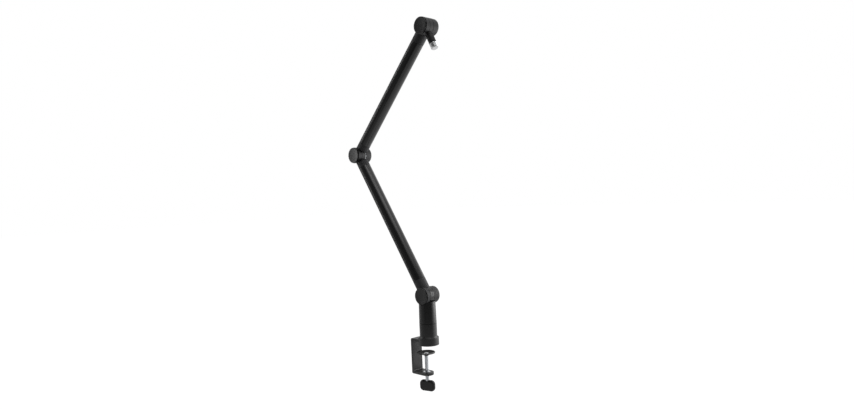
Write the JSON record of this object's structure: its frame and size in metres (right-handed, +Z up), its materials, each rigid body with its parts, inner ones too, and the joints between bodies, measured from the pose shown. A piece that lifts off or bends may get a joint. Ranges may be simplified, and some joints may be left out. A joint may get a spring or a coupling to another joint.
{
  "type": "microphone boom arm",
  "caption": "Desk-clamped microphone boom arm of two hinged round tubes on a swivel column, with a screw clamp and a threaded stud for a microphone.",
  "frame": {"origin": "underside of the clamp's upper jaw, on the axis of the swivel column", "axes": "+Z up along the column, +Y along the three hinge axes, +X forwards, out of the clamp's mouth"},
  "size_m": [0.2831, 0.0455, 0.7767],
  "materials": {
    "black_anodised": "satin black anodised extrusion",
    "cover_plastic": "satin black extruded ABS",
    "black_casting": "matt black powder coat on cast aluminium",
    "column_paint": "satin black enamel on turned aluminium",
    "cap_plastic": "fine-grained black moulded ABS",
    "jaw_plastic": "black moulded nylon",
    "strap_paint": "satin black powder coat on bent steel",
    "pad_rubber": "matt black rubber",
    "zinc_steel": "bright zinc plate",
    "spring_steel": "oiled spring wire",
    "bearing_plastic": "black acetal",
    "nickel_plate": "nickel-plated brass thread"
  },
  "bodies": {
    "clamp": {"clamp_strap": "strap_paint", "jaw_cup": "jaw_plastic", "jaw_pad": "pad_rubber", "jaw_screws": "zinc_steel", "spindle_insert": "zinc_steel", "base_sleeve": "column_paint", "swivel_post": "zinc_steel", "post_screw": "zinc_steel", "thrust_washer": "bearing_plastic"},
    "plate": {"pressure_plate": "jaw_plastic"},
    "spindle": {"clamp_spindle": "zinc_steel", "plate_clip": "zinc_steel", "spindle_knob": "jaw_plastic"},
    "column": {"column_body": "column_paint", "lower_bush": "bearing_plastic", "upper_bush": "bearing_plastic", "swivel_grub_screw": "zinc_steel", "shoulder_crank_pin": "zinc_steel"},
    "lower_arm": {"lower_arm_fork": "black_casting", "lower_arm_tube": "black_anodised", "lower_cable_cover": "cover_plastic", "lower_arm_knuckle": "black_casting", "lower_spring": "spring_steel", "lower_spring_anchor": "zinc_steel", "lower_tube_screws": "zinc_steel", "elbow_crank_pin": "zinc_steel", "shoulder_bolt": "zinc_steel", "shoulder_nut": "zinc_steel", "shoulder_washers": "bearing_plastic", "shoulder_cap_left": "cap_plastic", "shoulder_cap_right": "cap_plastic"},
    "upper_arm": {"upper_arm_fork": "black_casting", "upper_arm_tube": "black_anodised", "upper_cable_cover": "cover_plastic", "upper_arm_yoke": "black_casting", "upper_spring": "spring_steel", "upper_spring_anchor": "zinc_steel", "upper_tube_screws": "zinc_steel", "elbow_bolt": "zinc_steel", "elbow_nut": "zinc_steel", "elbow_washers": "bearing_plastic", "elbow_cap_left": "cap_plastic", "elbow_cap_right": "cap_plastic", "head_bolt": "zinc_steel", "head_nut": "zinc_steel", "head_washers": "bearing_plastic", "head_cap_left": "cap_plastic", "head_cap_right": "cap_plastic"},
    "mic_head": {"mic_stud": "black_casting", "thread_adapter": "nickel_plate"}
  },
  "joints": [
    {"name": "base_swivel", "type": "hinge", "parent": "clamp", "child": "column", "pos_m": [0, 0, 0.045], "axis": [0, 0, 1], "continuous": true},
    {"name": "shoulder_tilt", "type": "hinge", "parent": "column", "child": "lower_arm", "pos_m": [0, 0, 0.1035], "axis": [0, 1, 0], "range_deg": [-41.6, 108.4], "deforming": ["lower_spring"]},
    {"name": "elbow_fold", "type": "hinge", "parent": "lower_arm", "child": "upper_arm", "pos_m": [-0.20313, 0, 0.41156], "axis": [0, 1, 0], "range_deg": [-76.9, 36], "deforming": ["upper_spring"]},
    {"name": "head_tilt", "type": "hinge", "parent": "upper_arm", "child": "mic_head", "pos_m": [0.0316, 0, 0.65891], "axis": [0, 1, 0], "range_deg": [-200, 1]},
    {"name": "plate_slide", "type": "slide", "parent": "clamp", "child": "plate", "axis": [0, 0, 1], "range_m": [-0.025, 0.0115]},
    {"name": "spindle_turn", "type": "hinge", "parent": "plate", "child": "spindle", "pos_m": [-0.0092, 0, -0.05], "axis": [0, 0, 1], "range_deg": [-7300, 3420]}
  ],
  "couplings": [
    {"joint": "spindle_turn", "follows": "plate_slide", "rad_per_m": 5026.5}
  ]
}
